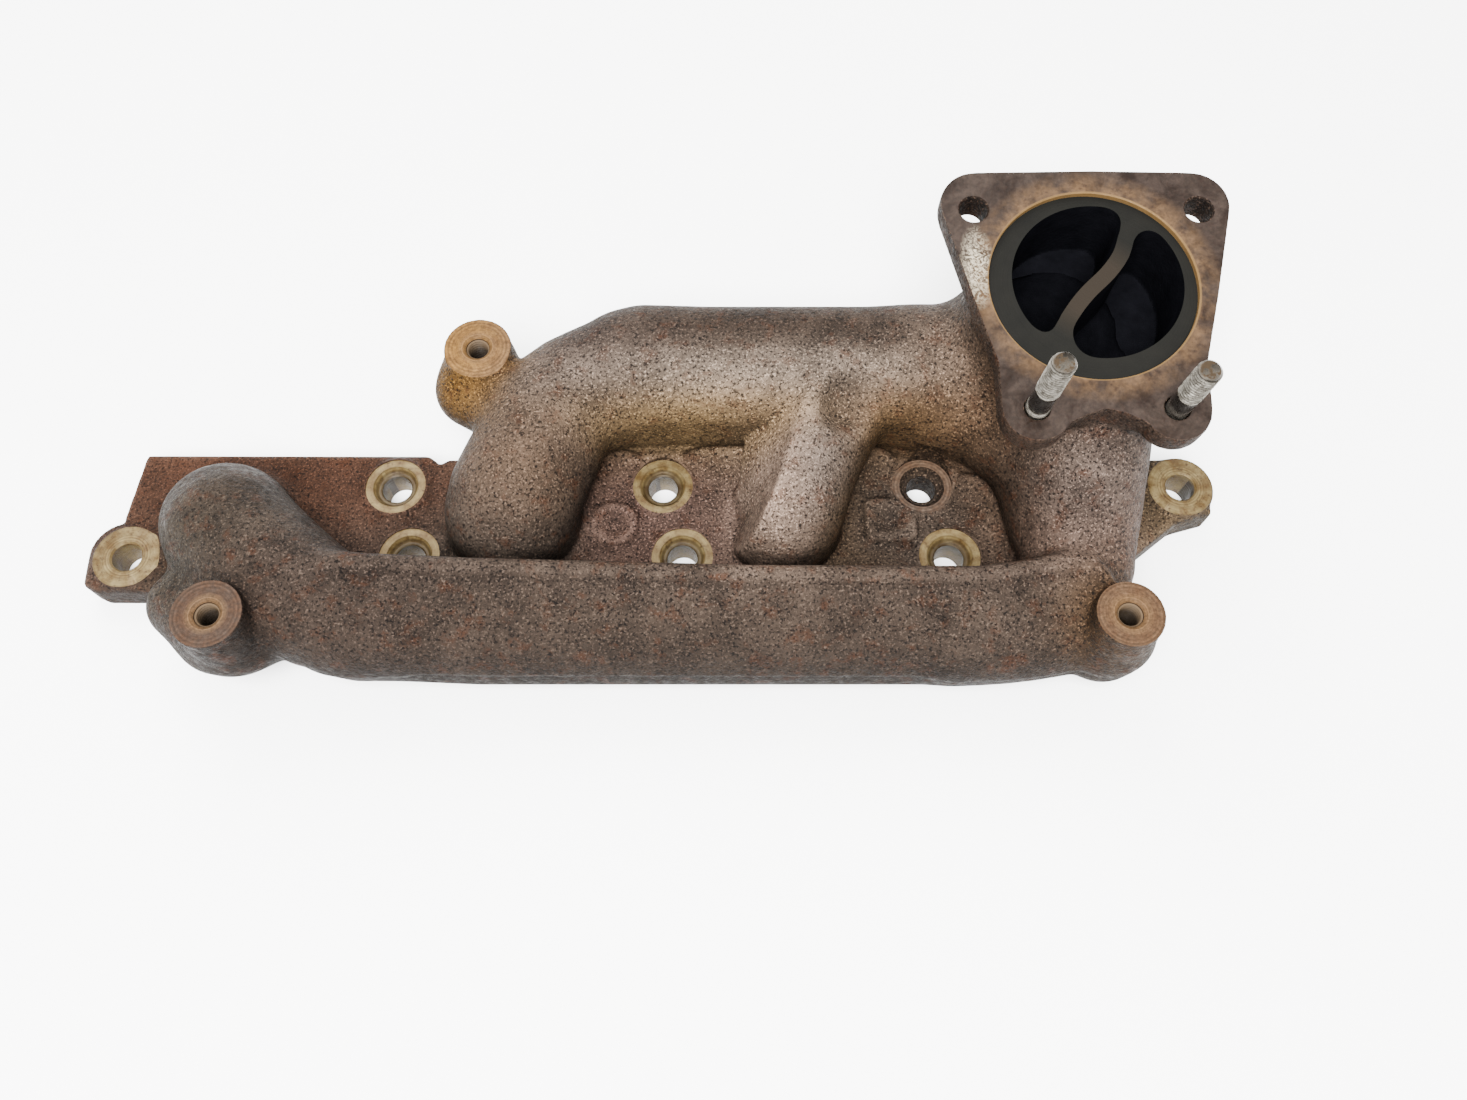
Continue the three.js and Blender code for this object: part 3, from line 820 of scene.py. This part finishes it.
class Graph:
    """Builds one procedural material, with sizes in millimetres."""

    def __init__(self, name, metallic, specular=0.5):
        self.material = bpy.data.materials.new(name)
        self.material.use_nodes = True
        self.tree = self.material.node_tree
        self.shader = self.tree.nodes["Principled BSDF"]
        self.shader.inputs["Metallic"].default_value = metallic
        self.shader.inputs["Specular IOR Level"].default_value = specular
        self.at = self.tree.nodes.new("ShaderNodeTexCoord").outputs["Object"]

    def put(self, socket, value):
        if isinstance(value, bpy.types.NodeSocket):
            self.tree.links.new(value, socket)
        elif isinstance(value, tuple) and len(socket.default_value) == 4:
            socket.default_value = (*value, 1)
        else:
            socket.default_value = value

    def noise(self, size, detail=2.0, rough=0.5, warp=0.0, at=None, shift=0.0):
        node = self.tree.nodes.new("ShaderNodeTexNoise")
        where = at or self.at
        if shift:
            move = self.tree.nodes.new("ShaderNodeVectorMath")
            self.put(move.inputs[0], where)
            move.inputs[1].default_value = (shift, shift, shift)
            where = move.outputs["Vector"]
        self.put(node.inputs["Vector"], where)
        node.inputs["Scale"].default_value = 1 / (size * MM) if at is None else 1 / size
        node.inputs["Detail"].default_value = detail
        node.inputs["Roughness"].default_value = rough
        node.inputs["Distortion"].default_value = warp
        return node.outputs["Fac"]

    def ramp(self, value, low, high, start=0.0, end=1.0):
        node = self.tree.nodes.new("ShaderNodeMapRange")
        for socket, number in zip(node.inputs, (value, low, high, start, end)):
            self.put(socket, number)
        return node.outputs["Result"]

    def blend(self, amount, a, b, mode="MIX"):
        node = self.tree.nodes.new("ShaderNodeMix")
        node.data_type = "RGBA"
        node.blend_type = mode
        self.put(node.inputs["Factor"], amount)
        self.put(node.inputs[6], a)
        self.put(node.inputs[7], b)
        return node.outputs[2]

    def math(self, operation, a, b=0.0):
        node = self.tree.nodes.new("ShaderNodeMath")
        node.operation = operation
        self.put(node.inputs[0], a)
        self.put(node.inputs[1], b)
        return node.outputs[0]

    def attribute(self, name, output):
        node = self.tree.nodes.new("ShaderNodeAttribute")
        node.attribute_name = name
        return node.outputs[output]

    def shade(self, colour, factor):
        """The colour multiplied by a number."""
        grey = self.tree.nodes.new("ShaderNodeCombineColor")
        for socket in grey.inputs[:3]:
            self.put(socket, factor)
        return self.blend(1.0, colour, grey.outputs[0], "MULTIPLY")

    def radius(self):
        """Distance from the nearest machined axis, in millimetres."""
        node = self.tree.nodes.new("ShaderNodeVectorMath")
        node.operation = "LENGTH"
        self.put(node.inputs[0], self.attribute("spot", "Vector"))
        return node.outputs["Value"]

    def height(self):
        """Height above the nearest machined face, in millimetres."""
        node = self.tree.nodes.new("ShaderNodeSeparateXYZ")
        self.put(node.inputs[0], self.attribute("spot", "Vector"))
        return node.outputs["Z"]

    def near(self, centre, reach):
        """One at a place given from the nearest machined axis, fading to nothing at its reach."""
        where = self.attribute("spot", "Vector")
        for operation, value in (("SUBTRACT", centre), ("DIVIDE", reach)):
            node = self.tree.nodes.new("ShaderNodeVectorMath")
            node.operation = operation
            self.put(node.inputs[0], where)
            node.inputs[1].default_value = value
            where = node.outputs["Vector"]
        node = self.tree.nodes.new("ShaderNodeVectorMath")
        node.operation = "LENGTH"
        self.put(node.inputs[0], where)
        return self.ramp(node.outputs["Value"], 1.0, 0.3)

    def rings(self, spacing):
        """Turning marks round the nearest machined axis."""
        node = self.tree.nodes.new("ShaderNodeTexNoise")
        node.noise_dimensions = "1D"
        self.put(node.inputs["W"], self.radius())
        node.inputs["Scale"].default_value = 1 / spacing
        node.inputs["Detail"].default_value = 3
        return node.outputs["Fac"]

    def bump(self, height, depth, under=None):
        node = self.tree.nodes.new("ShaderNodeBump")
        node.inputs["Distance"].default_value = depth * MM
        self.put(node.inputs["Height"], height)
        if under is not None:
            self.put(node.inputs["Normal"], under)
        return node.outputs["Normal"]

    def finish(self, colour, roughness, normal=None):
        self.put(self.shader.inputs["Base Color"], colour)
        self.put(self.shader.inputs["Roughness"], roughness)
        if normal is not None:
            self.put(self.shader.inputs["Normal"], normal)
        return self.material


def cast_iron():
    g = Graph("cast_iron", metallic=0.0, specular=0.03)
    grain = g.noise(0.75, 3, 0.65)
    lumps = g.noise(2.4, 4, 0.65, shift=3.1)
    patches = g.noise(14, 5, 0.65, warp=0.4)
    blotches = g.noise(6, 4, 0.65, shift=7.7)
    colour = g.shade(g.attribute("tint", "Color"), g.ramp(patches, 0.3, 0.7, 0.56, 1.55))
    rust = g.ramp(blotches, 0.54, 0.68, 0.0, 0.55)
    colour = g.blend(rust, colour, srgb(66, 38, 23))
    # Painted shade in creases and hollows, and painted highlight on ridges, from the smoothed field
    # round each point.
    colour = g.shade(colour, g.ramp(g.attribute("painted_crease_shade", "Fac"), -0.55, 0.55, 0.45, 1.55))
    pepper = g.ramp(g.noise(1.0, 3, 0.65, shift=1.3), 0.49, 0.38, 0.0, 0.9)
    colour = g.blend(pepper, colour, srgb(12, 10, 9))
    # Painted glints: bright specks of a lighter tint stand in for light sparkling off the iron.
    painted_glints = g.ramp(g.noise(0.8, 3, 0.65, shift=5.9), 0.55, 0.68, 0.0, 0.8)
    colour = g.blend(painted_glints, colour, g.shade(g.attribute("tint", "Color"), 3.8))
    roughness = g.ramp(lumps, 0.3, 0.7, 0.42, 0.75)
    normal = g.bump(lumps, 1.0)
    normal = g.bump(grain, 0.7, normal)
    return g.finish(colour, roughness, normal)


def spotface():
    g = Graph("bright_spotface", metallic=0.3, specular=0.15)
    rings = g.rings(0.5)
    stain = g.noise(4, 4, 0.65)
    colour = g.blend(g.ramp(stain, 0.35, 0.65), srgb(92, 70, 38), srgb(132, 114, 76))
    colour = g.blend(g.ramp(g.noise(2.2, 4, 0.7, shift=2.0), 0.54, 0.68, 0.0, 0.8), colour,
                     srgb(58, 36, 20))
    colour = g.shade(colour, g.ramp(rings, 0.3, 0.7, 0.7, 1.2))
    # Painted shade: darker down into the counterbore and the hole.
    colour = g.blend(g.ramp(g.height(), -0.9, -2.4, 0.0, 0.85), colour, srgb(30, 22, 14))
    return g.finish(colour, g.ramp(stain, 0.3, 0.7, 0.32, 0.52), g.bump(rings, 0.10))


def rusty_face():
    g = Graph("rusty_face", metallic=0.0, specular=0.06)
    rings = g.rings(0.7)
    stain = g.noise(3.5, 4, 0.65)
    where = g.radius()
    tint = g.shade(g.attribute("tint", "Color"), 1.7)
    colour = g.blend(g.ramp(stain, 0.35, 0.65, 0.1, 0.6), tint, srgb(66, 42, 24))
    worn = g.ramp(where, 7.2, 5.4, 0.0, 0.5)
    colour = g.blend(worn, colour, srgb(110, 84, 56))
    colour = g.shade(colour, g.ramp(rings, 0.3, 0.7, 0.75, 1.25))
    colour = g.shade(colour, g.ramp(g.noise(1.1, 3, 0.65, shift=6.1), 0.35, 0.65, 0.7, 1.3))
    # Painted shade and light: a dark and a light band for each thread turn down the tapped hole.
    turns = g.math("FRACT", g.math("MULTIPLY", g.height(), 0.8))
    painted_thread_shade = g.blend(g.ramp(turns, 0.35, 0.6), srgb(20, 14, 11), srgb(104, 86, 66))
    colour = g.blend(g.ramp(g.height(), -0.9, -1.1), colour, painted_thread_shade)
    # Painted shade: darker further down the hole.
    colour = g.shade(colour, g.ramp(g.height(), -1.5, -7.0, 1.0, 0.15))
    normal = g.bump(g.noise(0.9, 3, 0.6), 0.2, g.bump(rings, 0.08))
    return g.finish(colour, g.ramp(stain, 0.3, 0.7, 0.4, 0.6), normal)


def outlet_face():
    g = Graph("outlet_face", metallic=0.1, specular=0.1)
    stain = g.noise(9, 5, 0.65, warp=0.6)
    fine = g.noise(1.4, 3, 0.6)
    where = g.radius()
    colour = g.blend(g.ramp(stain, 0.36, 0.62), srgb(32, 22, 16), srgb(56, 45, 38))
    patches = g.ramp(g.noise(7, 4, 0.6, shift=4.4), 0.36, 0.6, 0.1, 1.0)
    gold = g.math("MULTIPLY", g.ramp(where, 42, 34.5), patches)
    colour = g.blend(gold, colour, srgb(96, 73, 50))
    colour = g.blend(g.ramp(g.noise(3, 4, 0.7, shift=9.2), 0.56, 0.7, 0.0, 0.6), colour,
                     srgb(36, 22, 16))
    colour = g.shade(colour, g.ramp(fine, 0.3, 0.7, 0.72, 1.26))
    streaks = g.ramp(g.noise(1.6, 5, 0.75, warp=1.5, shift=2.6), 0.44, 0.58)
    bare = g.math("MULTIPLY", g.near((-37, 6, 0), (6, 16, 9)), streaks)
    colour = g.blend(bare, colour, srgb(206, 192, 166))
    rim = g.math("MULTIPLY", g.ramp(where, 34.2, 33.8), 0.7)
    colour = g.blend(rim, colour, srgb(132, 102, 60))
    return g.finish(colour, g.ramp(stain, 0.3, 0.7, 0.32, 0.6), g.bump(fine, 0.15))


def seat_ring():
    g = Graph("gasket_seat", metallic=0.0, specular=0.05)
    stain = g.noise(8, 3, 0.6)
    rings = g.rings(0.8)
    colour = g.blend(stain, srgb(15, 15, 13), srgb(26, 25, 21))
    middle = g.ramp(g.radius(), 21, 10, 0.0, 0.75)
    colour = g.blend(middle, colour, srgb(44, 37, 29))
    return g.finish(colour, 0.7, g.bump(rings, 0.06))


# Soot in the passages, darkened nearly to black as painted shade of the deep hollows.
def soot_and_shade():
    g = Graph("soot_and_shade", metallic=0.0, specular=0.0)
    stain = g.noise(5, 3, 0.6)
    colour = g.blend(stain, srgb(7, 7, 9), srgb(20, 20, 24))
    return g.finish(colour, 0.9, g.bump(g.noise(1.2, 3, 0.6), 0.2))


def head_face():
    g = Graph("head_face", metallic=0.3, specular=0.2)
    stain = g.noise(12, 5, 0.65, warp=0.5)
    fine = g.noise(1.2, 3, 0.6)
    where = g.radius()
    colour = g.blend(g.ramp(stain, 0.36, 0.62), srgb(66, 52, 44), srgb(96, 88, 80))
    mark = g.math("MULTIPLY", g.ramp(where, 17.5, 18.5), g.ramp(where, 23.5, 22.5))
    colour = g.blend(g.math("MULTIPLY", mark, 0.7), colour, srgb(38, 35, 33))
    colour = g.shade(colour, g.ramp(fine, 0.3, 0.7, 0.85, 1.15))
    return g.finish(colour, 0.48, g.bump(fine, 0.06))


def finish_casting(casting, field):
    """Gives the casting its finishes and the attributes that they read."""
    mesh = casting.data
    points, centres, normals = mesh_arrays(mesh)
    depth = sample(field, centres)
    inside = (depth < -3.0) & (centres[:, 2] > 0.05)
    finishes = face_finishes(centres, normals, inside)
    # The smoothed field is lower in creases and higher on ridges; it drives the painted crease
    # shade and ridge highlight.
    field.smooth(6)
    write_attribute(mesh, "painted_crease_shade", "FLOAT", sample(field, points))
    write_attribute(mesh, "spot", "FLOAT_VECTOR", feature_offsets(points))
    # Painted shade: the tint is darkened on faces that turn away from straight up, so sides and
    # undersides look shaded.
    upward = np.empty(len(points) * 3)
    mesh.vertices.foreach_get("normal", upward)
    painted_top_light = np.clip((upward.reshape(-1, 3)[:, 2:] - 0.05) / 0.8, 0, 1)
    tint = zone_colour(points) * IRON_DEPTH * (0.42 + 0.58 * painted_top_light)
    tint = np.hstack([tint, np.ones((len(points), 1))])
    write_attribute(mesh, "tint", "FLOAT_COLOR", tint)
    mesh.materials.clear()
    for build in (cast_iron, spotface, rusty_face, outlet_face, seat_ring, soot_and_shade, head_face):
        mesh.materials.append(build())
    mesh.polygons.foreach_set("material_index", finishes.astype(np.int32))
    mesh.update()


finish_casting(casting, outer)


# ---- Studs ----
STUD_INSIDE = 8.0                     # length of a stud below the outlet's face
SHANK_R = 3.62


def stud(name, tip, u, shank_top, base_ring):
    """A stud with a turned shank, a rolled thread and a chamfered tip."""
    facets, step = THREAD_FACETS, 0.16
    heights = np.arange(-STUD_INSIDE, tip + step, step)
    heights[-1] = tip
    turns = np.arange(facets) / facets
    rows, painted_root_shades = [], []
    for h in heights:
        saw = np.abs(((h / THREAD_PITCH - turns) % 1) * 2 - 1)
        threaded = np.clip((h - shank_top) / 0.8, 0, 1)
        r = SHANK_R + threaded * (0.28 - 0.66 * (1 - saw))
        if base_ring and 0.2 < h < 2.6:
            r = np.full(facets, STUD_R - 0.35 * abs(((h / 1.1) % 1) * 2 - 1))
        chamfer = STUD_R - np.clip(h - (tip - 1.1), 0, 2) * 0.95
        rows.append(np.minimum(r, chamfer))
        painted_root_shades.append(threaded * (1 - saw))
    rows = np.array(rows)
    angle = 2 * math.pi * turns
    rings = np.stack([rows * np.cos(angle), rows * np.sin(angle),
                      np.repeat(heights[:, None], facets, 1)], axis=2)
    vertices = rings.reshape(-1, 3).tolist()
    place = OUTLET_PLACE @ Matrix.Translation((u * MM, STUD_AT[1] * MM, 0))
    piece = make_object(name, vertices, ring_faces(len(heights), facets), place)
    piece.data.shade_smooth()
    piece.data.set_sharp_from_angle(angle=math.radians(40))
    write_attribute(piece.data, "along", "FLOAT", np.repeat(heights, facets))
    write_attribute(piece.data, "painted_root_shade", "FLOAT", np.array(painted_root_shades))
    piece.data.materials.append(stud_steel(name, shank_top, tip))
    return piece


def stud_steel(name, shank_top, tip):
    g = Graph(name + "_steel", metallic=0.9)
    along = g.attribute("along", "Fac")
    stain = g.noise(2.2, 4, 0.65)
    colour = g.blend(g.ramp(stain, 0.35, 0.65), srgb(104, 98, 88), srgb(176, 170, 158))
    # Painted shade in the thread roots.
    painted_root_shade = g.ramp(g.attribute("painted_root_shade", "Fac"), 0.3, 0.8, 0.0, 0.9)
    colour = g.blend(painted_root_shade, colour, srgb(34, 29, 25))
    dark = g.math("MULTIPLY", g.ramp(along, shank_top + 0.8, shank_top - 0.6),
                  g.ramp(along, 2.6, 4.5, 0.15, 0.9))
    colour = g.blend(dark, colour, srgb(52, 48, 46))
    crust = g.math("MULTIPLY", g.ramp(along, tip - 0.8, tip - 0.1), g.ramp(stain, 0.4, 0.55))
    colour = g.blend(crust, colour, srgb(92, 76, 58))
    return g.finish(colour, g.ramp(stain, 0.3, 0.7, 0.2, 0.4), g.bump(g.noise(0.6, 3, 0.6), 0.05))


# Each stud's side, height of its tip and of its plain shank, and whether its foot is ringed.
for label, side, tip, shank_top, ringed in (("left", -1, 31, 12.5, True),
                                            ("right", 1, 26, 9.5, False)):
    piece = stud("stud_" + label, tip, side * STUD_AT[0], shank_top, ringed)
    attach(piece, "root")
    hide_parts("outlet_stud_" + label)


# ---- Floor and light ----
FLOOR_HALF = 3.0                      # metres
WORLD_LIGHT = 2.75
# Soft lamps: name, place in metres, width in metres and power in watts.
LAMPS = [("key", (-0.10, -0.60, 1.25), 0.8, 140), ("back", (-0.3, 0.9, 1.0), 0.9, 36)]


def make_floor():
    mesh = bpy.data.meshes.new("floor")
    corners = [(x * FLOOR_HALF, y * FLOOR_HALF, 0) for x, y in ((-1, -1), (1, -1), (1, 1), (-1, 1))]
    mesh.from_pydata(corners, [], [(0, 1, 2, 3)])
    floor = bpy.data.objects.new("floor", mesh)
    floor.location.z = -0.0002        # just clear of the head face
    bpy.context.scene.collection.objects.link(floor)
    paint = bpy.data.materials.new("floor_paint")
    paint.use_nodes = True
    shader = paint.node_tree.nodes["Principled BSDF"]
    shader.inputs["Base Color"].default_value = (0.93, 0.93, 0.925, 1)
    shader.inputs["Roughness"].default_value = 0.9
    mesh.materials.append(paint)


def make_lights():
    world = bpy.data.worlds.new("studio")
    world.use_nodes = True
    background = world.node_tree.nodes["Background"]
    background.inputs["Color"].default_value = (1, 1, 1, 1)
    background.inputs["Strength"].default_value = WORLD_LIGHT
    bpy.context.scene.world = world
    for name, place, size, power in LAMPS:
        data = bpy.data.lights.new(name, "AREA")
        data.size = size
        data.energy = power
        lamp = bpy.data.objects.new(name, data)
        lamp.location = place
        aim = Vector((0, 0, 0.03)) - Vector(place)
        lamp.rotation_euler = aim.to_track_quat("-Z", "Y").to_euler()
        bpy.context.scene.collection.objects.link(lamp)


make_floor()
make_lights()
